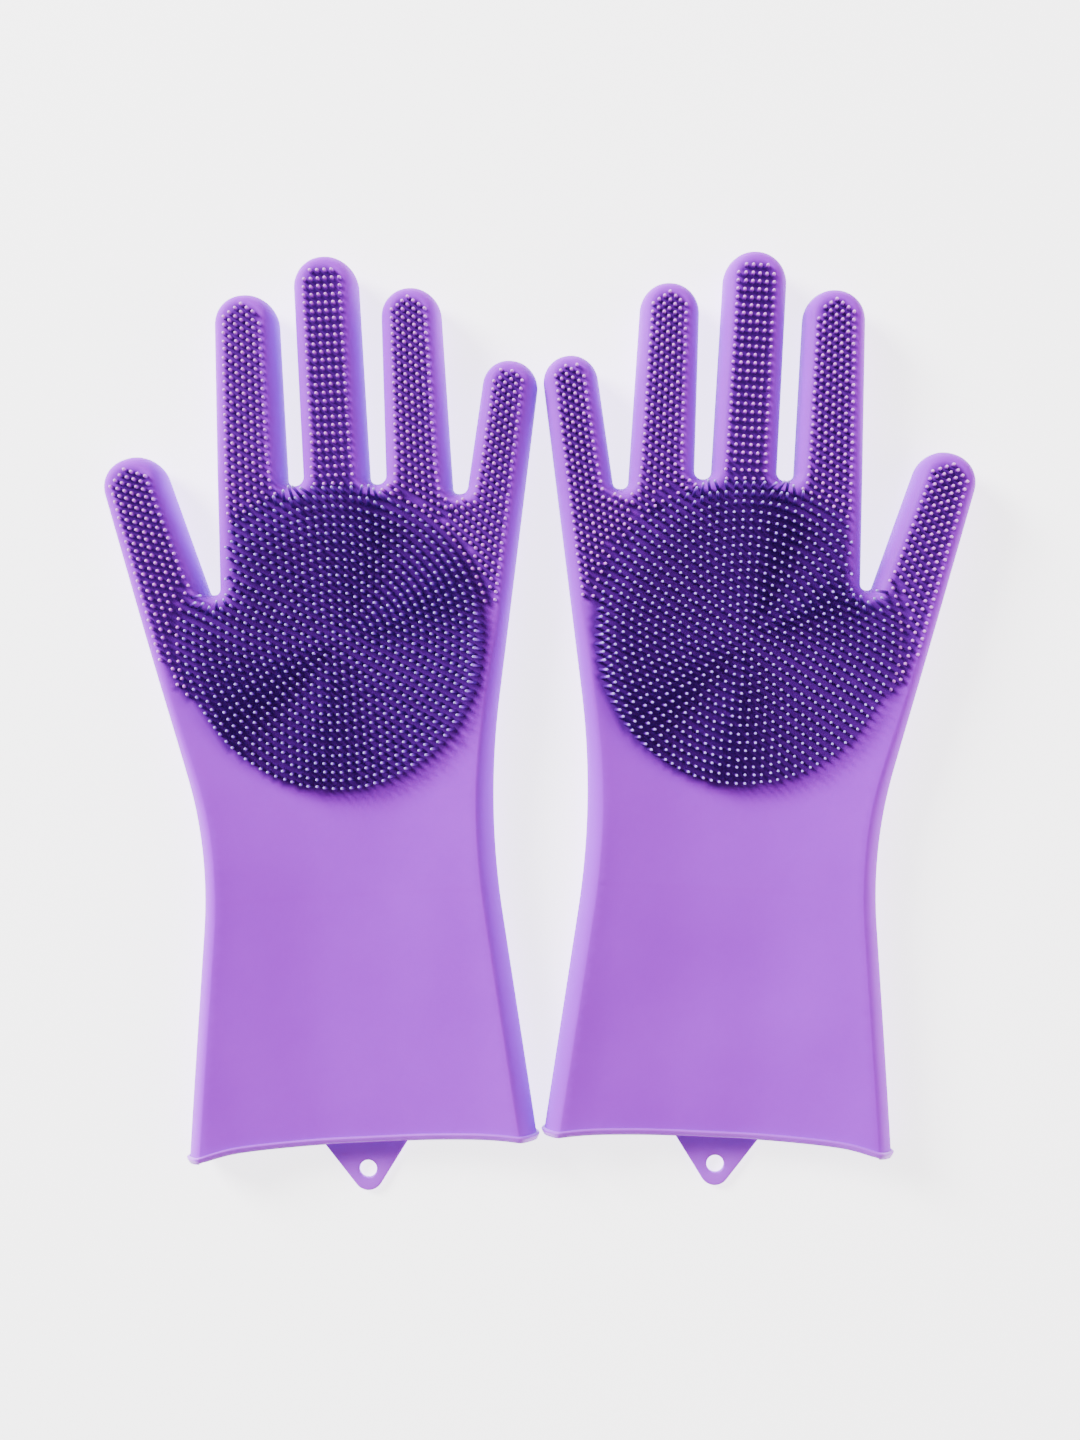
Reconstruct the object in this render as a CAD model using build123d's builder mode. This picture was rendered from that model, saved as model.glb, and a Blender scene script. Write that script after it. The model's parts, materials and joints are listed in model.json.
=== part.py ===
"""Pair of one-piece silicone scrubbing gloves, lying palm up, fingers along +Y.

Each glove is drawn in its own frame as a left hand: x towards the little finger,
y from the rim to the fingertips, z up from the back of the hand to the palm.
The right hand is the mirror of the left.  Millimetres.
"""
from build123d import *
import math
import os

os.makedirs("parts", exist_ok=True)

# ---------------------------------------------------------------- driving dimensions
WALL = 1.8              # silicone wall
TOP_Z = 20.0            # palm face above the table
HINGE_Z = 12.0          # height of every flexing line
CLEAR = 0.3             # half of the gap left between two zones that bend on each other

# the outside of the hand: height above the table, and how far the wall has drawn in
OUTER = [(0.0, 4.8), (3.0, 1.6), (10.0, 0.0), (17.0, 1.6), (TOP_Z, 4.8)]
INNER = [(WALL, 6.0), (4.0, 3.5), (10.0, WALL), (16.0, 3.5), (TOP_Z - WALL, 6.0)]

RIM_SAG = 2.5           # the rim is hollow across: its middle stands back from its corners
RIM_HALF = 66.0         # half of the width over which it does
BEYOND = 80.0           # further out than the tab or any corner of the rim
BEAD_LENGTH = 2.4       # rolled bead round the rim
BEAD_PROUD = 0.9

TAB_X = 1.6             # hang tab, at the middle of the rim
TAB_LENGTH = 18.7       # from the line through the rim's corners to its tip
TAB_THICK = 2.4
TAB_TAPER = 35.0        # degrees, each straight side to the middle line
TAB_TIP_R = 5.8
TAB_HOLE = 6.6
TAB_HOLE_Y = -10.3

DISC_CENTRE = (3.0, 193.5)
DISC_R = 57.0           # round pad of long bristles in the palm
DISC_HIGH = 7.5
FIELD_HIGH = 3.2        # short bristles on the fingers and round the pad
FIELD_FOOT = 165.0      # the short bristles end here on the thumb side
FIELD_GAP = 0.8         # bare ring between the short bristles and the pad
FIELD_EDGE = 0.4        # the short bristles stand this far inside the rounded shoulder

WRIST_Y = 112.0         # the narrowest place, where the gauntlet meets the palm
WRIST_MAX = 45.0        # degrees

# name, base knuckle (x, y), lean towards the little finger, base to middle knuckle,
# half width of the finger's own strip, largest bend of the two knuckles
FINGERS = [
    ("thumb", (-61.6, 223.5), -13.8, 22.0, 15.5, 55.0, 60.0),
    ("index", (-26.3, 266.0), 1.6, 33.0, 16.0, 65.0, 75.0),
    ("middle", (6.1, 266.0), 0.0, 37.0, 15.6, 65.0, 75.0),
    ("ring", (37.3, 266.0), 1.0, 33.0, 15.4, 65.0, 75.0),
    ("little", (68.3, 259.0), 10.4, 20.0, 13.6, 55.0, 60.0),
]

# where each glove lies: rim middle (x, y) and turn about +Z
LEFT_PLACE = (-69.25, -161.32, 3.2)
RIGHT_PLACE = (69.25, -159.42, -3.2)

# corners of the hand's outline at the parting line, each with its rounding radius
OUTLINE = [
    ((-67.2, -20.0), None),
    ((-50.7, 116.0), 174.0),        # wrist, thumb side
    ((-84.3, 264.1), 11.5),         # thumb tip
    ((-61.7, 270.0), 11.5),
    ((-44.9, 213.6), 2.0),          # thumb to index
    ((-40.7, 213.6), 2.0),
    ((-36.4, 326.6), 11.6),         # index tip
    ((-13.0, 326.6), 11.6),
    ((-13.0, 253.3), 3.1),
    ((-6.5, 253.3), 3.1),
    ((-6.1, 339.5), 12.0),          # middle tip
    ((18.1, 339.5), 12.0),
    ((18.5, 252.2), 3.1),
    ((24.8, 252.2), 3.1),
    ((26.7, 325.8), 11.1),          # ring tip
    ((49.0, 325.8), 11.1),
    ((49.9, 246.8), 2.6),
    ((55.2, 246.8), 2.6),
    ((65.5, 298.0), 10.1),          # little tip
    ((85.8, 294.1), 10.1),
    ((55.7, 128.0), 300.0),         # wrist, little finger side
    ((70.15, -20.0), None),
]


# ---------------------------------------------------------------- shared shapes
with BuildSketch() as hand_outline:
    with BuildLine() as hand_line:
        corners = [place for place, radius in OUTLINE]
        radii = [radius for place, radius in OUTLINE if radius is not None]
        run = FilletPolyline(*corners, radius=radii)
        Line(run @ 1, run @ 0)
    make_face()


# the same two straight sides near the rim, for the bead
with BuildSketch() as cuff_outline:
    with BuildLine():
        foot_left, wrist_left = Vector(*OUTLINE[0][0]), Vector(*OUTLINE[1][0])
        foot_right, wrist_right = Vector(*OUTLINE[-1][0]), Vector(*OUTLINE[-2][0])
        Polyline(
            foot_left, foot_left + (wrist_left - foot_left) * 0.4,
            foot_right + (wrist_right - foot_right) * 0.4, foot_right, close=True)
    make_face()


def outline_at(inset, outline=hand_outline):
    """The outline drawn in by inset."""
    with BuildSketch() as level:
        add(outline.sketch)
        if inset != 0:
            offset(amount=-inset)
    return level.sketch


def stacked(levels, outline=hand_outline):
    """A closed solid through the outline at each (height, inset)."""
    with BuildPart() as body:
        for (low, low_in), (high, high_in) in zip(levels, levels[1:]):
            with BuildSketch(Plane.XY.offset(low)):
                add(outline_at(low_in, outline))
            with BuildSketch(Plane.XY.offset(high)):
                add(outline_at(high_in, outline))
            loft(ruled=True)
    return body.part


def rim_region(shift):
    """Everything beyond the hollow rim line, the line shifted towards the fingers."""
    with BuildPart() as region:
        with BuildSketch(Plane.XY.offset(-TOP_Z)):
            with BuildLine():
                left = (-2 * RIM_HALF, shift - 3 * RIM_SAG)
                right = (2 * RIM_HALF, shift - 3 * RIM_SAG)
                arc = ThreePointArc(left, (0, shift + RIM_SAG), right)
                Polyline(arc @ 1, (2 * RIM_HALF, -BEYOND), (-2 * RIM_HALF, -BEYOND), arc @ 0)
            make_face()
        extrude(amount=3 * TOP_Z)
    return region.part


def flex_block(base, lean, width, start, start_bend, end, end_bend):
    """The strip of a finger between two flexing lines, relieved on the palm side.

    Each end stands square up to the flexing line's height and from there leans
    back by half of the bend, so that the two sides meet when the zone is bent.
    """
    rise = TOP_Z + FIELD_HIGH + 1.0 - HINGE_Z
    back = -6.0
    way = Vector(math.sin(math.radians(lean)), math.cos(math.radians(lean)), 0)
    side = Plane(origin=(base[0], base[1], HINGE_Z), x_dir=way, z_dir=way.cross(Vector(0, 0, 1)))
    s = rise * math.tan(math.radians(start_bend / 2 + 1))
    e = rise * math.tan(math.radians(end_bend / 2 + 1))
    with BuildPart() as block:
        with BuildSketch(side):
            with BuildLine():
                Polyline(
                    (start, back - HINGE_Z), (start, 0), (start + s, rise),
                    (end - e, rise), (end, 0), (end, back - HINGE_Z), close=True)
            make_face()
        extrude(amount=width, both=True)
    return block.part


hand_solid = stacked(OUTER)
hand_cavity = stacked(INNER)

with BuildPart() as hand_shell:
    add(hand_solid)
    add(hand_cavity, mode=Mode.SUBTRACT)


# ---------------------------------------------------------------- zones of one glove
def common(shape, block):
    """The part of shape inside block."""
    with BuildPart() as zone:
        add(shape)
        add(block, mode=Mode.INTERSECT)
    return zone.part


def without(shape, *blocks):
    """The shape with each block cut away."""
    with BuildPart() as zone:
        add(shape)
        for block in blocks:
            add(block, mode=Mode.SUBTRACT)
    return zone.part


# short bristles stand on the palm face, inside its rounded shoulder
with BuildPart() as field_slab:
    with BuildSketch(Plane.XY.offset(TOP_Z)):
        add(outline_at(OUTER[-1][1] + FIELD_EDGE))
        with Locations((0, FIELD_FOOT - BEYOND * 2)):
            Rectangle(BEYOND * 4, BEYOND * 4, mode=Mode.SUBTRACT)
        with Locations(DISC_CENTRE):
            Circle(DISC_R + FIELD_GAP, mode=Mode.SUBTRACT)
    extrude(amount=FIELD_HIGH)

# the round pad stops where the palm rounds off into the crotches
with BuildPart() as disc_brush:
    with BuildSketch(Plane.XY.offset(TOP_Z)):
        with Locations(DISC_CENTRE):
            Circle(DISC_R)
        add(outline_at(OUTER[-1][1]), mode=Mode.INTERSECT)
    extrude(amount=DISC_HIGH)

pieces = {}
finger_blocks = []
for name, base, lean, step, width, base_bend, tip_bend in FINGERS:
    near = flex_block(base, lean, width, CLEAR, base_bend, step - CLEAR, tip_bend)
    far = flex_block(base, lean, width, step + CLEAR, tip_bend, 120, -2)
    pieces[name + "_proximal_shell"] = common(hand_shell.part, near)
    pieces[name + "_distal_shell"] = common(hand_shell.part, far)
    pieces[name + "_proximal_brush"] = common(field_slab.part, near)
    pieces[name + "_distal_brush"] = common(field_slab.part, far)
    # the palm gives way to the finger: the same strip, relieved the other way
    finger_blocks.append(flex_block(base, lean, width, -CLEAR, -base_bend - 4, 130, -2))

wrist_palm = flex_block((0, WRIST_Y), 0, 150, CLEAR, WRIST_MAX, 300, -2)
wrist_cuff = flex_block((0, WRIST_Y), 0, 150, -300, -2, -CLEAR, WRIST_MAX)

pieces["palm_shell"] = without(common(hand_shell.part, wrist_palm), *finger_blocks)
pieces["palm_disc_brush"] = disc_brush.part
palm_field = without(field_slab.part, *finger_blocks)
SMALLEST_PATCH = 30.0   # cubic millimetres; slivers by the finger roots are left out
with BuildPart() as palm_field_brush:
    add([patch for patch in palm_field.solids() if patch.volume > SMALLEST_PATCH])
pieces["palm_field_brush"] = palm_field_brush.part

gauntlet = common(hand_shell.part, wrist_cuff)
pieces["gauntlet_shell"] = without(gauntlet, rim_region(BEAD_LENGTH))

bead_levels = [(z, inset - BEAD_PROUD) for z, inset in OUTER]
with BuildPart() as bead_shape:
    add(stacked(bead_levels, cuff_outline))
    with BuildSketch(Plane.XY.offset(TOP_Z)):
        add(outline_at(OUTER[-1][1] - BEAD_PROUD, cuff_outline))
    extrude(amount=BEAD_PROUD)
    add(hand_cavity, mode=Mode.SUBTRACT)
    add(rim_region(BEAD_LENGTH), mode=Mode.INTERSECT)
    add(rim_region(0), mode=Mode.SUBTRACT)
pieces["cuff_bead"] = bead_shape.part

taper = math.radians(TAB_TAPER)
tab_apex = TAB_TIP_R - TAB_LENGTH - TAB_TIP_R / math.sin(taper)
tab_top = 2 * RIM_SAG + BEAD_LENGTH
tab_half = (tab_top - tab_apex) * math.tan(taper)
with BuildPart() as hang_tab:
    with BuildSketch():
        with BuildLine():
            root_left, root_right = (TAB_X - tab_half, tab_top), (TAB_X + tab_half, tab_top)
            FilletPolyline(root_left, (TAB_X, tab_apex), root_right, radius=TAB_TIP_R)
            Line(root_right, root_left)
        make_face()
    extrude(amount=TAB_THICK)
    add(rim_region(0), mode=Mode.INTERSECT)
    with Locations((TAB_X, TAB_HOLE_Y, TAB_THICK)):
        Hole(radius=TAB_HOLE / 2)
pieces["hang_tab"] = hang_tab.part


# ---------------------------------------------------------------- the two gloves
def export_glove(side, place, mirrored):
    """Write every zone of one glove where it lies."""
    for name, shape in pieces.items():
        with BuildPart() as zone:
            add(shape)
            if mirrored:
                mirror(about=Plane.YZ, mode=Mode.REPLACE)
        with BuildPart() as placed:
            with Locations(Location((place[0], place[1], 0), (0, 0, place[2]))):
                add(zone.part)
        placed.part.label = side + "_" + name
        export_step(placed.part, "parts/" + side + "_" + name + ".step")


export_glove("left", LEFT_PLACE, False)
export_glove("right", RIGHT_PLACE, True)
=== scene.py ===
"""Pair of moulded silicone scrubbing gloves, palm up: skins, rims, tabs and real bristles."""
import json
import math

import bmesh
import bpy
import numpy as np
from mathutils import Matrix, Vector
from mathutils.geometry import delaunay_2d_cdt


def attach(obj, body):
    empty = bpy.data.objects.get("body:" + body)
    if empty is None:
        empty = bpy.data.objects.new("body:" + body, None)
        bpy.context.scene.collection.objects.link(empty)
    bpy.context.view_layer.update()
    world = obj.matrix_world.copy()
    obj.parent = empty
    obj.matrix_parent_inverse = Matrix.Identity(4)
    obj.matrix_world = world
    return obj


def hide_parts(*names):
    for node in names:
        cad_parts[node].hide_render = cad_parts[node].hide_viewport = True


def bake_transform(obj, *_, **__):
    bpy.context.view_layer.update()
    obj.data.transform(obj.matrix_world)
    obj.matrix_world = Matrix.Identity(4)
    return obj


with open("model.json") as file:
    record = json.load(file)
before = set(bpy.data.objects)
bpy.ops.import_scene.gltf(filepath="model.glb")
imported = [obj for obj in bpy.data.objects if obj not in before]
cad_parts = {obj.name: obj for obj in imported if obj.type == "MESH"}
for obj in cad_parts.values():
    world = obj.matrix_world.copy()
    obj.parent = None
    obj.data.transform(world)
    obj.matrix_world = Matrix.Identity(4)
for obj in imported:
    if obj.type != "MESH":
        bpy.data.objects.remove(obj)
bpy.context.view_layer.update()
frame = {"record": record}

# ------------------------------------------------------------------ the hand, in its own frame
# millimetres, as a left hand: x towards the little finger, y from the rim to the tips, z up
TOP = 20.0          # palm face
PART = 10.0         # mould parting line
WALL = 1.8
HINGE_Z = 12.0
STEP = 1.6          # spacing of points along the outline

OUTLINE = [
    ((-67.2, -20.0), None), ((-50.7, 116.0), 174.0), ((-84.3, 264.1), 11.5),
    ((-61.7, 270.0), 11.5), ((-44.9, 213.6), 2.0), ((-40.7, 213.6), 2.0),
    ((-36.4, 326.6), 11.6), ((-13.0, 326.6), 11.6), ((-13.0, 253.3), 3.1),
    ((-6.5, 253.3), 3.1), ((-6.1, 339.5), 12.0), ((18.1, 339.5), 12.0),
    ((18.5, 252.2), 3.1), ((24.8, 252.2), 3.1), ((26.7, 325.8), 11.1),
    ((49.0, 325.8), 11.1), ((49.9, 246.8), 2.6), ((55.2, 246.8), 2.6),
    ((65.5, 298.0), 10.1), ((85.8, 294.1), 10.1), ((55.7, 128.0), 300.0),
    ((70.15, -20.0), None),
]
# name: base knuckle, lean in degrees, half strip, flex zones (from, to) of each knuckle
FINGERS = {
    "thumb": ((-61.6, 223.5), -13.8, 15.5, (-9.0, 9.0), (12.2, 31.8)),
    "index": ((-26.3, 266.0), 1.6, 16.0, (-11.0, 11.0), (20.7, 45.3)),
    "middle": ((6.1, 266.0), 0.0, 15.6, (-11.0, 11.0), (24.7, 49.3)),
    "ring": ((37.3, 266.0), 1.0, 15.4, (-11.0, 11.0), (20.7, 45.3)),
    "little": ((68.3, 259.0), 10.4, 13.6, (-9.0, 9.0), (10.2, 29.8)),
}
WRIST = (3.0, 112.0)
WRIST_ZONE = (97.0, 127.0)
DISC = np.array((3.0, 193.5))
CROTCHES = np.array([(-42.8, 213.6), (-9.75, 253.5), (21.65, 252.5), (52.5, 247.0)])


def joint(name):
    return next(j for j in frame["record"]["behaviour"]["joints"] if j["name"] == name)


class Side:
    """Places the hand's own frame where this glove's wrist hinge says it lies."""

    def __init__(self, name):
        self.name = name
        self.flip = -1.0 if name == "right" else 1.0
        wrist = joint(name + "_wrist")
        ax = wrist["axis"]
        self.turn = math.atan2(ax[1], ax[0])
        c, s = math.cos(self.turn), math.sin(self.turn)
        self.rot = np.array([[c, -s], [s, c]])
        local = np.array([WRIST[0] * self.flip, WRIST[1]])
        self.shift = np.array(wrist["pos_m"][:2]) * 1000 - self.rot @ local

    def world(self, co):
        co = np.array(co, float).reshape(-1, 3).copy()
        co[:, 0] *= self.flip
        co[:, :2] = co[:, :2] @ self.rot.T + self.shift
        return co / 1000.0

    def turned(self, vec):
        vec = np.array(vec, float).reshape(-1, 3).copy()
        vec[:, 0] *= self.flip
        vec[:, :2] = vec[:, :2] @ self.rot.T
        return vec

    def point(self, x, y, z=HINGE_Z):
        return tuple(self.world([(x, y, z)])[0])


def smooth(t):
    t = np.clip(t, 0.0, 1.0)
    return t * t * (3 - 2 * t)


def along(lean):
    """The direction of a finger that leans this many degrees, as (x, y)."""
    return np.array([math.sin(math.radians(lean)), math.cos(math.radians(lean))])


def rounded_line(corners, step):
    """Points along an open line of straights and tangent arcs."""
    points = [np.array(corners[0][0], float)]
    for (a, _), (b, radius), (c, _) in zip(corners, corners[1:], corners[2:]):
        a, b, c = (np.array(p, float) for p in (a, b, c))
        u, v = (a - b) / np.linalg.norm(a - b), (c - b) / np.linalg.norm(c - b)
        half = math.acos(np.clip(u @ v, -1, 1)) / 2
        reach = radius / math.tan(half)
        start, end = b + u * reach, b + v * reach
        middle = b + (u + v) / np.linalg.norm(u + v) * radius / math.sin(half)
        a0 = math.atan2(*(start - middle)[::-1])
        a1 = math.atan2(*(end - middle)[::-1])
        turn = (a1 - a0 + math.pi) % (2 * math.pi) - math.pi
        count = max(2, int(abs(turn) * radius / (step * 0.6)) + 1) if radius < 50 else 24
        points.append(start)
        for k in range(1, count):
            w = a0 + turn * k / count
            points.append(middle + radius * np.array([math.cos(w), math.sin(w)]))
        points.append(end)
    points.append(np.array(corners[-1][0], float))
    out = [points[0]]
    for p, q in zip(points, points[1:]):
        length = np.linalg.norm(q - p)
        if length < 1e-6:
            continue
        parts = max(1, int(math.ceil(length / step)))
        out += [p + (q - p) * k / parts for k in range(1, parts + 1)]
    return np.array(out)


def hand_chain():
    """The outline from the rim's thumb corner round the fingers to its other corner."""
    line = rounded_line(OUTLINE, STEP)
    keep = line[:, 1] > 0.2
    line = line[keep]
    left = np.interp(0, [-20, 116], [-67.2, -50.7])
    right = np.interp(0, [-20, 128], [70.15, 55.7])
    line = np.vstack([[left, 0.0], line, [right, 0.0]])
    ahead = np.vstack([line[1:], line[-1:] + (line[-1:] - line[-2:-1])])
    behind = np.vstack([line[:1] - (line[1:2] - line[:1]), line[:-1]])
    a = line - behind
    b = ahead - line
    a /= np.linalg.norm(a, axis=1)[:, None]
    b /= np.linalg.norm(b, axis=1)[:, None]
    t = a + b
    t /= np.linalg.norm(t, axis=1)[:, None]
    normal = np.stack([-t[:, 1], t[:, 0]], axis=1)      # out of the glove
    normal[0] = (-1, 0)
    normal[-1] = (1, 0)
    return line, normal


chain, chain_n = hand_chain()

EDGE_Y = [-5, 0, 50, 110, 140, 160, 180, 200, 215, 400]
EDGE_L = [-61, -60.4, -54.5, -48.5, -52.0, -56.6, -60.5, -62.5, -63.0, -63.0]
EDGE_R = [63.5, 63.0, 58.0, 53.5, 54.8, 57.2, 60.0, 62.0, 63.0, 63.0]
SAG_Y = [0, 60, 130, 205, 236, 258]
SAG_DEEP = [8.0, 7.6, 6.4, 5.4, 2.6, 0.0]
RIM_MIDDLE = 1.5
RIM_HALF = 66.0     # half of the width over which the rim is hollow
RIM_HOLLOW = 2.5    # how far its middle stands back
RIM_DROOP = 1.5     # how far its thumb-side corner hangs below that line
RIM_FADE = 70.0     # the hollow dies out this far up the cuff


def sag(x, y):
    """How far the palm face dips between its raised edges."""
    left = np.interp(y, EDGE_Y, EDGE_L)
    right = np.interp(y, EDGE_Y, EDGE_R)
    t = (x - (left + right) / 2) / ((right - left) / 2)
    deep = np.interp(y, SAG_Y, SAG_DEEP)
    return deep * np.clip(1 - t * t, 0, 1)


def face_z(x, y):
    """Height of the palm face."""
    slack = 0.42 * np.sin(x * 0.075 + y * 0.031) * np.sin(y * 0.052 - x * 0.02 + 1.0)
    slack = slack + 0.13 * np.sin(x * 0.19 + 0.9 * np.sin(y * 0.021) + 0.4)
    slack = slack * np.clip(1 - (y - 95) / 60, 0, 1)
    return TOP - sag(x, y) + slack * np.clip(sag(x, y) / 3, 0, 1)


def rim_shift(y, x):
    """The rim stands back in the middle and droops at its corners."""
    t = np.clip((x - RIM_MIDDLE) / RIM_HALF, -1, 1)
    hollow = RIM_HOLLOW * (1 - np.abs(t) ** 5) - RIM_DROOP * smooth((-t - 0.70) / 0.30)
    return hollow * np.clip(1 - y / RIM_FADE, 0, 1) ** 2


def warm(a, b, y):
    """a along the gauntlet, b along the fingers."""
    return a + (b - a) * smooth((y - 120) / 90.0)


def ring(theta, inset_more, thin):
    """One line of the side wall: theta 0 at the palm face's edge, pi at the back's."""
    y = chain[:, 1]
    front = theta <= math.pi / 2
    reach = warm(6.3, 4.6, y) if front else warm(6.0, 4.8, y)
    power = warm(1.30, 2.0, y) if front else warm(1.7, 2.1, y)
    s, c = math.sin(theta), abs(math.cos(theta))
    inset = reach * (1 - s ** (2 / power)) + inset_more
    xy = chain - chain_n * inset[:, None]
    top = face_z(xy[:, 0], xy[:, 1]) - thin
    if front:
        z = PART + (top - PART) * c ** (2 / power)
    else:
        z = PART - (PART - thin) * c ** (2 / power)
    return np.column_stack([xy, z])


def inside(points, polygon):
    x, y = points[:, 0], points[:, 1]
    hit = np.zeros(len(points), bool)
    nxt = np.roll(polygon, -1, axis=0)
    for (x0, y0), (x1, y1) in zip(polygon, nxt):
        if y0 == y1:
            continue
        cross = ((y0 > y) != (y1 > y)) & (x < (x1 - x0) * (y - y0) / (y1 - y0) + x0)
        hit ^= cross
    return hit


def nearest(points, others):
    """Distance from each point to the nearest of the others."""
    out = np.full(len(points), 1e9)
    for k in range(0, len(points), 500):
        d = points[k:k + 500, None, :] - others[None, :, :]
        out[k:k + 500] = np.sqrt((d ** 2).sum(2)).min(1)
    return out


def filled(edge_xy, spacing):
    """Triangles that fill an edge line closed along the rim, with a regular net inside."""
    first, last = edge_xy[0], edge_xy[-1]
    count = int(abs(last[0] - first[0]) / spacing)
    base = [last + (first - last) * k / count for k in range(1, count)]
    loop = np.vstack([edge_xy, base])
    rows = []
    y, odd = spacing, False
    while y < loop[:, 1].max():
        xs = np.arange(-90 + (spacing / 2 if odd else 0), 92, spacing)
        rows.append(np.column_stack([xs, np.full(len(xs), y)]))
        y += spacing * 0.87
        odd = not odd
    grid = np.vstack(rows)
    grid = grid[inside(grid, loop)]
    grid = grid[nearest(grid, loop) > spacing * 0.55]
    points = np.vstack([loop, grid])
    edges = [(k, (k + 1) % len(loop)) for k in range(len(loop))]
    got = delaunay_2d_cdt([Vector(p) for p in points], edges, [], 1, 1e-6)
    back = {}
    for new, olds in enumerate(got[3]):
        for old in olds:
            back[new] = old
    faces = [tuple(back[v] for v in f) for f in got[2] if all(v in back for v in f)]
    return points, faces, len(edge_xy)


def surface(thetas, inset_more, thin, flip, spacing):
    """The outer or inner skin of the whole hand, open at the rim."""
    rings = [ring(t, inset_more, thin) for t in thetas]
    n = len(chain)
    verts = np.vstack(rings)
    faces = []
    for r in range(len(rings) - 1):
        for k in range(n - 1):
            a, b = r * n + k, r * n + k + 1
            faces.append((a, b, b + n, a + n))
    for which, ring_start in ((0, 0), (1, (len(rings) - 1) * n)):
        points, tris, edge = filled(rings[-1 if which else 0][:, :2], spacing)
        extra = points[edge:]
        if which:
            z = np.full(len(extra), thin)
        else:
            z = face_z(extra[:, 0], extra[:, 1]) - thin
        offset = len(verts)
        verts = np.vstack([verts, np.column_stack([extra, z])])
        for tri in tris:
            ids = [ring_start + v if v < edge else offset + v - edge for v in tri]
            p = points[list(tri)]
            up = (p[1, 0] - p[0, 0]) * (p[2, 1] - p[0, 1]) - (p[1, 1] - p[0, 1]) * (p[2, 0] - p[0, 0])
            wanted = up > 0 if which == 0 else up < 0
            faces.append(tuple(ids if wanted else ids[::-1]))
    if flip:
        faces = [f[::-1] for f in faces]
    verts[:, 1] += rim_shift(verts[:, 1], verts[:, 0])
    return verts, faces


OUT_STEPS = [0.0, 0.10, 0.22, 0.36, 0.52, 0.70, 0.88, 1.08, 1.28, 1.47]
out_thetas = OUT_STEPS + [math.pi / 2] + [math.pi - t for t in reversed(OUT_STEPS)]
in_thetas = [0.0, 0.35, 0.8, 1.25, 1.89, 2.34, 2.79, math.pi]


def whole_hand():
    """One mesh of both skins, cut along every flexing line, with its smooth normals."""
    outer_v, outer_f = surface(out_thetas, 0.0, 0.0, False, 2.3)
    inner_v, inner_f = surface(in_thetas, WALL, WALL, True, 3.6)
    shift = len(outer_v)
    verts = np.vstack([outer_v, inner_v])
    faces = outer_f + [tuple(v + shift for v in f) for f in inner_f]
    mesh = bpy.data.meshes.new("hand")
    mesh.from_pydata([tuple(v) for v in verts], [], faces)
    bm = bmesh.new()
    bm.from_mesh(mesh)
    bpy.data.meshes.remove(mesh)

    def cut(where, way, test):
        faces = [f for f in bm.faces if test(f.calc_center_median())]
        geom = list({e for f in faces for e in f.edges}) + list({v for f in faces for v in f.verts})
        bmesh.ops.bisect_plane(bm, geom=geom + faces, plane_co=where, plane_no=way, dist=1e-5)

    cut((0, WRIST_ZONE[0], 0), (0, 1, 0), lambda c: abs(c.y - WRIST_ZONE[0]) < 8)
    for base, lean, width, near, far in FINGERS.values():
        way = Vector((*along(lean), 0))
        side = Vector((way.y, -way.x, 0))
        origin = Vector((*base, 0))
        for u in (near[0], far[0]):
            at = origin + way * u
            cut(at, way, lambda c: abs((c - at) @ way) < 7 and abs((c - at) @ side) < width)
    bm.normal_update()
    return bm


def piece_of(c):
    """The name of the zone that a point of the hand belongs to."""
    if c[1] < WRIST_ZONE[0]:
        return "gauntlet"
    for name, (base, lean, width, near, far) in FINGERS.items():
        way = along(lean)
        d = np.array([c[0] - base[0], c[1] - base[1]])
        u, v = d @ way, d[0] * way[1] - d[1] * way[0]
        if u > near[0] and abs(v) < width:
            return name + ("_distal" if u > far[0] else "_proximal")
    return "palm"


# ------------------------------------------------------------------ where the bristles stand
# the straight sides of each finger, thumb side first, how many columns of bristles it has, how
# far in from each side the outer columns stand, the top row below the tip, and the lowest row
SIDES = {
    "thumb": (((-50.7, 116.0), (-84.3, 264.1)), ((-44.9, 213.6), (-61.7, 270.0)), 7, (5.4, 5.2), 5.9, -75),
    "index": (((-40.7, 213.6), (-36.4, 326.6)), ((-13.0, 253.3), (-13.0, 326.6)), 7, (5.7, 4.9), 5.8, -62),
    "middle": (((-6.5, 253.3), (-6.1, 339.5)), ((18.5, 252.2), (18.1, 339.5)), 6, (5.6, 5.3), 7.7, -15),
    "ring": (((24.8, 252.2), (26.7, 325.8)), ((49.9, 246.8), (49.0, 325.8)), 7, (5.4, 5.0), 5.8, -38),
    "little": (((55.2, 246.8), (65.5, 298.0)), ((55.7, 128.0), (85.8, 294.1)), 6, (5.2, 5.2), 5.9, -70),
}
ROW = 3.06          # rows of short bristles
RING = 3.1          # rings of long bristles, with six more in each ring than in the last
RINGS = 18
SPARE = 2.0         # no short bristle stands nearer than this to another
# below this line (x, y) the palm carries no short bristles
FOOT_X = [-61.0, -58.5, -53.5, -50.0, 50.0, 56.0]
FOOT_Y = [189.0, 179.5, 175.5, 172.0, 172.0, 204.0]


def across(name, row):
    """Where one row of a finger's bristles starts and ends."""
    base, lean = FINGERS[name][:2]
    way = along(lean)
    side = np.array([way[1], -way[0]])
    start = np.array(base) + way * row
    ends = []
    for (p, q), sign, inset in zip(SIDES[name][:2], (1, -1), SIDES[name][3]):
        p, q = np.array(p), np.array(q)
        t = (q - p) / np.linalg.norm(q - p)
        n = np.array([t[1], -t[0]]) * sign
        p = p + n * inset
        # where start + v * side meets the line p + w * t
        v, _ = np.linalg.solve(np.column_stack([side, -t]), p - start)
        ends.append(start + side * v)
    return ends


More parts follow.
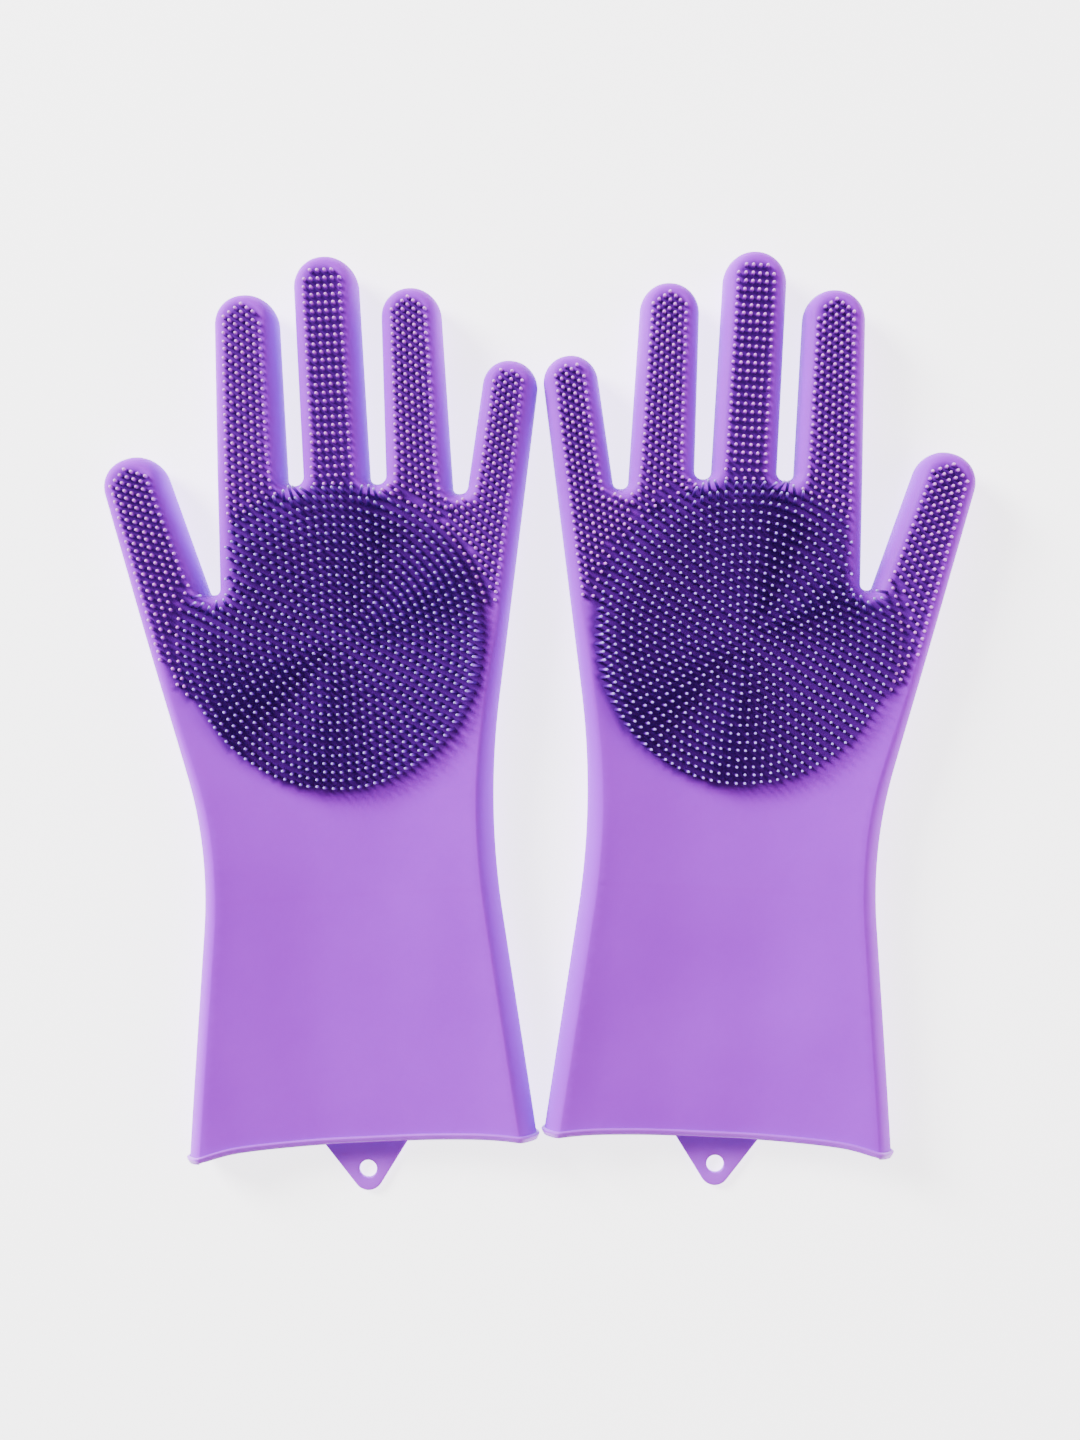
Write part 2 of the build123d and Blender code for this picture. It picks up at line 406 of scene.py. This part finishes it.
def finger_rows(name):
    """Places for the short bristles of one finger and of the palm below it."""
    base, lean, _, near, _ = FINGERS[name]
    left, right, count, _, first, low = SIDES[name]
    way = along(lean)
    tip = ((np.array(left[1]) + np.array(right[1])) / 2 - np.array(base)) @ way
    places = []
    for row in np.arange(tip - first, low, -ROW):
        for col in range(-14, count + 14):
            at = row if name == "middle" or col % 2 else row + ROW / 2
            on_finger = at > near[0]
            if on_finger and not 0 <= col < count:
                continue
            start, end = across(name, at)
            p = start + (end - start) * col / (count - 1)
            owner = piece_of(p).split("_")[0]
            if owner == name if on_finger else owner == "palm" and region(p) == name:
                places.append(p)
    return places


def circle_of(k):
    """The places of the k-th ring round the middle of the pad."""
    w = math.pi / 2 + math.pi * np.arange(6 * k) / (3 * k)
    return DISC + RING * k * np.column_stack([np.cos(w), np.sin(w)])


def bristle_places():
    """(x, y) of every bristle of one hand, and its kind: 1 in the long pad, 0 in the short field."""
    rng = np.random.default_rng(7)
    face_edge = ring(0.0, 0.0, 0.0)[:, :2]
    loop = np.vstack([face_edge, [face_edge[0]]])
    pad = np.vstack([[DISC]] + [circle_of(k) for k in range(1, RINGS + 1)])
    pad = pad[inside(pad, loop) & (nearest(pad, face_edge) > 0.5)]
    border = circle_of(RINGS + 1)
    field = np.vstack([border] + [finger_rows(name) for name in FINGERS])
    clear = inside(field, loop) & (nearest(field, face_edge) > 0.25)
    from_pad = np.linalg.norm(field - DISC, axis=1)
    outside = from_pad > RING * (RINGS + 1) + 2.0
    outside[:len(border)] = True
    foot = np.interp(field[:, 0], FOOT_X, FOOT_Y)
    field = field[clear & outside & (field[:, 1] > foot)]
    kept = [field[0]]
    for p in field[1:]:
        if np.min(np.linalg.norm(np.array(kept) - p, axis=1)) > SPARE:
            kept.append(p)
    xy = np.vstack([pad, kept])
    kind = np.array([1] * len(pad) + [0] * len(kept))
    return xy + rng.normal(0, 0.06, xy.shape), kind


def region(p):
    """Which finger's rows a point of the palm carries on."""
    x, y = p
    if x < -34 - (y - 213) * 0.15 and y < 240:
        return "thumb"
    if x < -9.8:
        return "index"
    if x < 21.6:
        return "middle"
    if x < 50 - (252 - y) * 0.18:
        return "ring"
    return "little"


def bristle_leans(xy, kind):
    """Unit direction of each bristle: square to the face, fanned where the face rounds off."""
    e = 0.5
    gx = (face_z(xy[:, 0] + e, xy[:, 1]) - face_z(xy[:, 0] - e, xy[:, 1])) / (2 * e)
    gy = (face_z(xy[:, 0], xy[:, 1] + e) - face_z(xy[:, 0], xy[:, 1] - e)) / (2 * e)
    d = np.column_stack([-gx, -gy, np.ones(len(xy))])
    for crotch in CROTCHES:
        away = crotch - xy
        dist = np.linalg.norm(away, axis=1)
        pull = 0.46 * smooth((14.0 - dist) / 10.0)
        d[:, :2] += away / dist[:, None] * pull[:, None]
    d[:, 1] += 0.20 * smooth((xy[:, 1] - 238) / 10) * (kind == 1)
    edge = nearest(xy, ring(0.0, 0.0, 0.0)[:, :2])
    curl = 0.34 * smooth((8.0 - edge) / 8.0) * (kind == 1) * smooth((226 - xy[:, 1]) / 14)
    d[:, 0] -= np.sign(xy[:, 0] - DISC[0]) * curl
    rng = np.random.default_rng(11)
    d[:, :2] += rng.normal(0, 0.022, (len(xy), 2))
    return d / np.linalg.norm(d, axis=1)[:, None]


def bristle_mesh(xy, kind, lean):
    """Tapered round bristles with domed tips, as one set of vertices and faces."""
    sides = 7
    #        along, radius, share of the height
    long_ring = [(-0.5, 0.80), (0.6, 0.66), (3.4, 0.60), (6.4, 0.56), (7.1, 0.47), (7.38, 0.26)]
    short_ring = [(-0.5, 0.86), (0.4, 0.76), (1.7, 0.70), (2.5, 0.64), (2.95, 0.52), (3.15, 0.28)]
    verts, faces, rise, tone = [], [], [], []
    w = 2 * math.pi * np.arange(sides) / sides
    rng = np.random.default_rng(5)
    for (x, y), k, d in zip(xy, kind, lean):
        rings = long_ring if k else short_ring
        tall = rings[-1][0] + 0.12
        grow = rng.uniform(0.96, 1.03)
        foot = np.array([x, y, face_z(np.array([x]), np.array([y]))[0]])
        s = np.cross(d, (0, 1, 0))
        s /= np.linalg.norm(s)
        t = np.cross(d, s)
        start = len(verts)
        for along, radius in rings:
            for q in w:
                verts.append(foot + d * along * grow + (s * math.cos(q) + t * math.sin(q)) * radius)
                rise.append(max(0.0, along / tall))
        verts.append(foot + d * tall * grow)
        rise.append(1.0)
        shade = rng.uniform(0, 1)
        tone += [shade] * (len(rings) * sides + 1)
        for r in range(len(rings) - 1):
            for q in range(sides):
                a, b = start + r * sides + q, start + r * sides + (q + 1) % sides
                faces.append((a, a + sides, b + sides, b))
        last = start + (len(rings) - 1) * sides
        for q in range(sides):
            faces.append((last + q, start + len(rings) * sides, last + (q + 1) % sides))
    return np.array(verts), faces, np.array(rise), np.array(tone)


# ------------------------------------------------------------------ materials
def principled(name):
    mat = bpy.data.materials.new(name)
    mat.use_nodes = True
    nodes, links = mat.node_tree.nodes, mat.node_tree.links
    return mat, nodes, links, nodes["Principled BSDF"]


def noise(nodes, links, scale, detail, rough):
    where = nodes.new("ShaderNodeTexCoord")
    tex = nodes.new("ShaderNodeTexNoise")
    tex.inputs["Scale"].default_value = scale
    tex.inputs["Detail"].default_value = detail
    tex.inputs["Roughness"].default_value = rough
    links.new(where.outputs["Object"], tex.inputs["Vector"])
    return tex.outputs["Fac"]


def ramp(nodes, links, value, stops):
    node = nodes.new("ShaderNodeValToRGB")
    links.new(value, node.inputs["Fac"])
    node.color_ramp.elements[0].position = stops[0][0]
    node.color_ramp.elements[0].color = (*stops[0][1], 1)
    node.color_ramp.elements[1].position = stops[-1][0]
    node.color_ramp.elements[1].color = (*stops[-1][1], 1)
    for place, colour in stops[1:-1]:
        node.color_ramp.elements.new(place).color = (*colour, 1)
    return node.outputs["Color"]


def mixed(nodes, links, factor, a, b, how="MIX"):
    node = nodes.new("ShaderNodeMix")
    node.data_type = "RGBA"
    node.blend_type = how
    if isinstance(factor, float):
        node.inputs["Factor"].default_value = factor
    else:
        links.new(factor, node.inputs["Factor"])
    for socket, value in ((node.inputs[6], a), (node.inputs[7], b)):
        if isinstance(value, tuple):
            socket.default_value = (*value, 1)
        else:
            links.new(value, socket)
    return node.outputs[2]


def attribute(nodes, name):
    node = nodes.new("ShaderNodeAttribute")
    node.attribute_name = name
    return node.outputs["Fac"]


def skin_material():
    mat, nodes, links, bsdf = principled("silicone_skin")
    broad = noise(nodes, links, 22.0, 3.0, 0.5)
    fine = noise(nodes, links, 900.0, 3.0, 0.6)
    body = ramp(nodes, links, broad, [(0.30, (0.375, 0.004, 0.80)), (0.70, (0.410, 0.008, 0.86))])
    # painted shade: by a per-point mask the colour darkens to deep violet among and around the bristles,
    # standing in for their occlusion and shadow
    painted_bristle_shade = attribute(nodes, "painted_bristle_shade")
    deep = mixed(nodes, links, painted_bristle_shade, body, (0.115, 0.002, 0.29))
    links.new(deep, bsdf.inputs["Base Color"])
    rough = nodes.new("ShaderNodeMapRange")
    rough.inputs["To Min"].default_value = 0.40
    rough.inputs["To Max"].default_value = 0.54
    links.new(fine, rough.inputs["Value"])
    links.new(rough.outputs["Result"], bsdf.inputs["Roughness"])
    bsdf.inputs["Subsurface Weight"].default_value = 0.18
    bsdf.inputs["Subsurface Radius"].default_value = (1.0, 0.3, 0.8)
    bsdf.inputs["Subsurface Scale"].default_value = 0.0022
    bsdf.inputs["IOR"].default_value = 1.41
    bsdf.inputs["Specular IOR Level"].default_value = 0.06
    bump = nodes.new("ShaderNodeBump")
    bump.inputs["Strength"].default_value = 0.10
    bump.inputs["Distance"].default_value = 0.0006
    links.new(fine, bump.inputs["Height"])
    soft = nodes.new("ShaderNodeBump")
    soft.inputs["Strength"].default_value = 0.35
    soft.inputs["Distance"].default_value = 0.0012
    links.new(broad, soft.inputs["Height"])
    links.new(soft.outputs["Normal"], bump.inputs["Normal"])
    links.new(bump.outputs["Normal"], bsdf.inputs["Normal"])
    return mat


def rim_material():
    mat, nodes, links, bsdf = principled("silicone_rim")
    broad = noise(nodes, links, 60.0, 3.0, 0.5)
    fine = noise(nodes, links, 1100.0, 2.0, 0.6)
    body = ramp(nodes, links, broad, [(0.30, (0.47, 0.045, 0.88)), (0.70, (0.51, 0.06, 0.93))])
    links.new(body, bsdf.inputs["Base Color"])
    rough = nodes.new("ShaderNodeMapRange")
    rough.inputs["To Min"].default_value = 0.30
    rough.inputs["To Max"].default_value = 0.44
    links.new(fine, rough.inputs["Value"])
    links.new(rough.outputs["Result"], bsdf.inputs["Roughness"])
    bsdf.inputs["Subsurface Weight"].default_value = 0.25
    bsdf.inputs["Subsurface Radius"].default_value = (1.0, 0.3, 0.8)
    bsdf.inputs["Subsurface Scale"].default_value = 0.0015
    bsdf.inputs["IOR"].default_value = 1.41
    bump = nodes.new("ShaderNodeBump")
    bump.inputs["Strength"].default_value = 0.12
    bump.inputs["Distance"].default_value = 0.0005
    links.new(fine, bump.inputs["Height"])
    links.new(bump.outputs["Normal"], bsdf.inputs["Normal"])
    return mat


def bristle_material(name, stops):
    mat, nodes, links, bsdf = principled(name)
    # painted shade and painted highlight: the colour runs up each bristle from dark at its foot to pale at
    # its tip
    body = ramp(nodes, links, attribute(nodes, "rise"), stops)
    tone = ramp(nodes, links, attribute(nodes, "tone"), [(0.0, (0.86, 0.86, 0.92)), (1.0, (1.0, 1.0, 1.0))])
    links.new(mixed(nodes, links, 1.0, body, tone, "MULTIPLY"), bsdf.inputs["Base Color"])
    fine = noise(nodes, links, 1500.0, 2.0, 0.5)
    rough = nodes.new("ShaderNodeMapRange")
    rough.inputs["To Min"].default_value = 0.26
    rough.inputs["To Max"].default_value = 0.42
    links.new(fine, rough.inputs["Value"])
    links.new(rough.outputs["Result"], bsdf.inputs["Roughness"])
    bsdf.inputs["IOR"].default_value = 1.41
    bump = nodes.new("ShaderNodeBump")
    bump.inputs["Strength"].default_value = 0.15
    bump.inputs["Distance"].default_value = 0.0003
    links.new(fine, bump.inputs["Height"])
    links.new(bump.outputs["Normal"], bsdf.inputs["Normal"])
    return mat


SKIN = skin_material()
RIM = rim_material()
# each ramp: a dark foot as painted shade among the bristles, a pale tip as painted highlight
PAD = bristle_material("silicone_bristles_pad", [
    (0.0, (0.075, 0.002, 0.22)), (0.45, (0.11, 0.004, 0.32)), (0.76, (0.36, 0.06, 0.80)),
    (0.90, (0.52, 0.24, 1.0)), (1.0, (0.55, 0.52, 1.0))])
FIELD = bristle_material("silicone_bristles_field", [
    (0.0, (0.17, 0.002, 0.34)), (0.35, (0.25, 0.005, 0.47)), (0.66, (0.56, 0.07, 0.84)),
    (0.90, (0.86, 0.26, 1.0)), (1.0, (0.92, 0.45, 1.0))])


# ------------------------------------------------------------------ making the objects
def make_object(name, side, verts, faces, material, values=None, normals=None):
    mesh = bpy.data.meshes.new(name)
    if side.flip < 0:
        faces = [f[::-1] for f in faces]
    mesh.from_pydata(side.world(verts).tolist(), [], [tuple(f) for f in faces])
    mesh.polygons.foreach_set("use_smooth", [True] * len(mesh.polygons))
    for key, data in (values or {}).items():
        attr = mesh.attributes.new(key, "FLOAT", "POINT")
        attr.data.foreach_set("value", np.asarray(data, np.float32))
    mesh.update()
    if normals is not None:
        mesh.normals_split_custom_set_from_vertices(side.turned(normals).tolist())
    mesh.materials.append(material)
    obj = bpy.data.objects.new(name, mesh)
    bpy.context.scene.collection.objects.link(obj)
    return obj


def ride(obj, side, zone):
    """Ties a gauntlet piece to its body; any other piece only gets its placement baked into its vertices
    and is tied to no body.
    """
    s = side.name + "_"
    if zone == "gauntlet":
        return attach(obj, s + "gauntlet")
    if zone == "palm":
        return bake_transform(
            obj, s + "gauntlet", s + "palm",
            side.point(WRIST[0], WRIST_ZONE[0]), side.point(WRIST[0], WRIST_ZONE[1]))
    finger, part = zone.split("_")
    base, lean, _, near, far = FINGERS[finger]
    way = along(lean)
    start, end = near if part == "proximal" else far
    a, b = np.array(base) + way * start, np.array(base) + way * end
    before = s + "palm" if part == "proximal" else s + finger + "_proximal"
    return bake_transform(obj, before, s + zone, side.point(*a), side.point(*b))


ZONES = ["gauntlet", "palm"] + [f + p for f in FINGERS for p in ("_proximal", "_distal")]


def skins():
    """Split the hand into zones: {zone: (vertices, faces, normals)}."""
    bm = whole_hand()
    bm.verts.index_update()
    co = np.array([v.co for v in bm.verts])
    no = np.array([v.normal for v in bm.verts])
    groups = {z: [] for z in ZONES}
    for f in bm.faces:
        groups[piece_of(f.calc_center_median())].append([v.index for v in f.verts])
    bm.free()
    out = {}
    for zone, faces in groups.items():
        used = np.unique(np.concatenate([np.array(f) for f in faces]))
        renumber = {old: new for new, old in enumerate(used)}
        out[zone] = (co[used], [[renumber[v] for v in f] for f in faces], no[used])
    return out


def rim_loop():
    """The closed line of the outer wall at the rim, with its outward normals (x, z)."""
    first, last = [], []
    for t in out_thetas:
        line = ring(t, 0.0, 0.0)
        first.append(line[0])
        last.append(line[-1])
    left, right = np.array(first), np.array(last)
    count = 52
    top_x = np.linspace(left[0, 0], right[0, 0], count + 1)[1:-1]
    top = np.column_stack([top_x, np.zeros(len(top_x)), face_z(top_x, np.zeros(len(top_x)))])
    bottom_x = np.linspace(right[-1, 0], left[-1, 0], count + 1)[1:-1]
    bottom = np.column_stack([bottom_x, np.zeros(len(bottom_x)), np.zeros(len(bottom_x))])
    loop = np.vstack([left[::-1], top, right, bottom])
    tangent = np.roll(loop, -1, axis=0) - np.roll(loop, 1, axis=0)
    tangent /= np.linalg.norm(tangent, axis=1)[:, None]
    normal = np.column_stack([-tangent[:, 2], np.zeros(len(loop)), tangent[:, 0]])
    return loop, normal


def bead_mesh():
    """The rolled bead: a rounded section carried round the rim."""
    loop, normal = rim_loop()
    flat = np.abs(loop[:, 2]) < 0.01
    #          out from the wall, along y from the rim
    section = [
        (-1.75, 2.2), (-1.85, 0.9), (-1.55, 0.25), (-0.9, 0.0), (-0.3, 0.02), (0.15, 0.30),
        (0.48, 0.85), (0.74, 1.45), (0.92, 1.90), (0.90, 2.15), (0.60, 2.35), (-0.15, 2.55)]
    n = len(loop)
    verts, faces = [], []
    for out, along in section:
        p = loop + normal * out
        p[:, 2] = np.where(flat & (p[:, 2] < 0), 0.0, p[:, 2])
        p[:, 2] = np.maximum(p[:, 2], 0.0)
        p[:, 1] = along + rim_shift(np.zeros(n), p[:, 0])
        verts.append(p)
    verts = np.vstack(verts)
    for r in range(len(section) - 1):
        for k in range(n):
            a, b = r * n + k, r * n + (k + 1) % n
            faces.append((a, a + n, b + n, b))
    return verts, faces


def tab_mesh():
    """The hang tab: a soft-edged tongue with a hole, rooted under the rim."""
    middle, length, tip_r, taper, thick = 1.6, 18.7, 5.8, math.radians(35.0), 2.4
    hole, hole_y, top = 3.3, -10.3, 3.8
    centre = np.array([middle, tip_r - length])
    touch = centre + tip_r * np.array([math.cos(taper), -math.sin(taper)])
    root = np.array([touch[0] + (top - touch[1]) * math.tan(taper), top])
    right = [root + (touch - root) * k / 16 for k in range(16)]
    arc = []
    for k in range(21):
        w = -taper - (math.pi - 2 * taper) * k / 20
        arc.append(centre + tip_r * np.array([math.cos(w), math.sin(w)]))
    left = [np.array([2 * middle - p[0], p[1]]) for p in reversed(right)]
    across_top = [np.array([x, top]) for x in np.linspace(left[-1][0], root[0], 20)[1:-1]]
    outline = np.array(right + arc + left + across_top)
    centre = np.array([middle, hole_y])
    holes = np.array([centre + hole * np.array([math.cos(w), math.sin(w)])
                      for w in np.linspace(0, 2 * math.pi, 36, endpoint=False)])

    def normals(loop, sign):
        t = np.roll(loop, -1, axis=0) - np.roll(loop, 1, axis=0)
        t /= np.linalg.norm(t, axis=1)[:, None]
        return sign * np.column_stack([-t[:, 1], t[:, 0]])

    ahead = np.roll(outline, -1, axis=0)
    area = 0.5 * np.sum(outline[:, 0] * ahead[:, 1] - ahead[:, 0] * outline[:, 1])
    on = normals(outline, -1.0 if area > 0 else 1.0)
    hn = normals(holes, 1.0)
    #       inwards, height
    rounds = [(0.75, 0.0), (0.35, 0.08), (0.1, 0.32), (0.0, 0.75), (0.0, thick - 0.75),
              (0.1, thick - 0.32), (0.35, thick - 0.08), (0.75, thick)]
    verts, faces = [], []
    for loop, normal in ((outline, on), (holes, hn)):
        base = sum(len(v) for v in verts)
        n = len(loop)
        for inset, z in rounds:
            xy = loop - normal * inset
            verts.append(np.column_stack([xy, np.full(n, z)]))
        for r in range(len(rounds) - 1):
            for k in range(n):
                a, b = base + r * n + k, base + r * n + (k + 1) % n
                faces.append((a, b, b + n, a + n))
    verts = np.vstack(verts)
    n_out, n_hole, count = len(outline), len(holes), len(rounds)
    for level in (0, count - 1):
        a = np.arange(level * n_out, (level + 1) * n_out)
        b = np.arange(n_out * count + level * n_hole, n_out * count + (level + 1) * n_hole)
        ids = np.concatenate([a, b])
        points = verts[ids][:, :2]
        edges = [(k, (k + 1) % n_out) for k in range(n_out)]
        edges += [(n_out + k, n_out + (k + 1) % n_hole) for k in range(n_hole)]
        got = delaunay_2d_cdt([Vector(p) for p in points], edges, [], 1, 1e-6)
        back = {new: old for new, olds in enumerate(got[3]) for old in olds}
        for f in got[2]:
            if not all(v in back for v in f):
                print("tab fill: a new point at", [tuple(got[0][v]) for v in f if v not in back])
                continue
            tri = [back[v] for v in f]
            middle = points[tri].mean(0)
            if np.linalg.norm(middle - centre) < hole + 0.5:
                continue
            faces.append(tuple(int(ids[v]) for v in tri))
    bm = bmesh.new()
    made = [bm.verts.new(v) for v in verts]
    for f in faces:
        if len(set(f)) == len(f):
            bm.faces.new([made[v] for v in f])
    bmesh.ops.recalc_face_normals(bm, faces=bm.faces[:])
    bm.verts.index_update()
    co = np.array([v.co for v in bm.verts])
    out = [[v.index for v in f.verts] for f in bm.faces]
    bm.free()
    return co, out


zone_skins = skins()
xy, kind = bristle_places()
lean = bristle_leans(xy, kind)
owner = np.array([piece_of(p) for p in xy])
face_edge = ring(0.0, 0.0, 0.0)[:, :2]
face_loop = np.vstack([face_edge, [face_edge[0]]])
bead_v, bead_f = bead_mesh()
tab_v, tab_f = tab_mesh()

for side in (Side("left"), Side("right")):
    s = side.name + "_"
    for zone, (verts, faces, normals) in zone_skins.items():
        up = (verts[:, 2] > TOP - 8) & (normals[:, 2] > 0.2)
        painted_bristle_shade = np.zeros(len(verts))
        if up.any():
            back = rim_shift(verts[up, 1], verts[up, 0])
            flat = verts[up][:, :2] - np.column_stack([np.zeros(up.sum()), back])
            edge = nearest(flat, face_edge) * np.where(inside(flat, face_loop), 1, 0)
            gap = nearest(flat, xy)
            # painted shade: the skin darkens among the bristles, with a faint tail out to 6.5 mm that
            # stands in for their soft shadow on the face
            shade_amount = np.maximum(smooth((3.0 - gap) / 1.2), 0.30 * smooth((6.5 - gap) / 4.5))
            painted_bristle_shade[up] = shade_amount * smooth(edge / 0.9)
        piece = make_object(s + zone + "_skin", side, verts, faces, SKIN, {"painted_bristle_shade": painted_bristle_shade}, normals)
        ride(piece, side, zone)
        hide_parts(s + zone + "_shell")
    for zone in ZONES[2:]:
        mine = owner == zone
        verts, faces, rise, tone = bristle_mesh(xy[mine], kind[mine], lean[mine])
        piece = make_object(s + zone + "_bristles", side, verts, faces, FIELD, {"rise": rise, "tone": tone})
        ride(piece, side, zone)
        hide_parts(s + zone + "_brush")
    for name, want, material in (("disc", 1, PAD), ("field", 0, FIELD)):
        mine = (owner == "palm") & (kind == want)
        verts, faces, rise, tone = bristle_mesh(xy[mine], kind[mine], lean[mine])
        piece = make_object(
            s + "palm_" + name + "_bristles", side, verts, faces, material, {"rise": rise, "tone": tone})
        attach(piece, s + "palm")
        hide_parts(s + "palm_" + name + "_brush")
    bead = make_object(s + "rim_bead", side, bead_v, bead_f, RIM)
    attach(bead, s + "gauntlet")
    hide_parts(s + "cuff_bead")
    tab = make_object(s + "hang_loop", side, tab_v, tab_f, RIM)
    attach(tab, s + "gauntlet")
    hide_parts(s + "hang_tab")

# ------------------------------------------------------------------ table, light and camera
scene = bpy.context.scene
floor_mat, _, _, floor_bsdf = principled("table")
floor_bsdf.inputs["Base Color"].default_value = (0.92, 0.92, 0.92, 1)
floor_bsdf.inputs["Roughness"].default_value = 0.75
floor_bsdf.inputs["Emission Color"].default_value = (1, 1, 1, 1)
floor_bsdf.inputs["Emission Strength"].default_value = 3.2
floor_mesh = bpy.data.meshes.new("table")
floor_mesh.from_pydata([(-4, -4, 0), (4, -4, 0), (4, 4, 0), (-4, 4, 0)], [], [(0, 1, 2, 3)])
floor_mesh.materials.append(floor_mat)
floor = bpy.data.objects.new("table", floor_mesh)
floor.location.z = -0.0004
scene.collection.objects.link(floor)

world = bpy.data.worlds.new("studio")
scene.world = world
world.use_nodes = True
world.node_tree.nodes["Background"].inputs["Color"].default_value = (1.0, 1.0, 1.0, 1)
world.node_tree.nodes["Background"].inputs["Strength"].default_value = 0.24


def area_light(name, where, aim, size, power, colour=(1, 1, 1)):
    data = bpy.data.lights.new(name, "AREA")
    data.shape = "RECTANGLE"
    data.size, data.size_y = size
    data.energy = power
    data.color = colour
    light = bpy.data.objects.new(name, data)
    light.location = where
    light.rotation_euler = (Vector(aim) - Vector(where)).to_track_quat("-Z", "Y").to_euler()
    scene.collection.objects.link(light)


area_light("key", (-2.15, 1.55, 1.55), (0, 0.02, 0), (1.2, 1.2), 280)
area_light("fill", (2.2, -0.3, 1.0), (0, 0, 0), (1.5, 1.5), 45, (1.0, 0.72, 0.86))

camera_data = bpy.data.cameras.new("camera")
camera = bpy.data.objects.new("camera", camera_data)
scene.collection.objects.link(camera)
CAM_X, CAM_Y, CAM_H = 0.030, 0.0020, 0.600      # over the pair, a little to its right
MIDDLE_X, MIDDLE_Z = 0.0003, 0.020              # what the picture centres on, at palm height
camera.location = (CAM_X, CAM_Y, CAM_H)
camera.rotation_euler = (0, 0, 0)
camera_data.sensor_fit = "HORIZONTAL"
camera_data.sensor_width = 36.0
WIDE = 0.4052                                   # width of the picture at that height
camera_data.lens = camera_data.sensor_width * (CAM_H - MIDDLE_Z) / WIDE
camera_data.shift_x = -(CAM_X - MIDDLE_X) / WIDE
camera_data.clip_start = 0.02
camera_data.dof.use_dof = False
scene.camera = camera
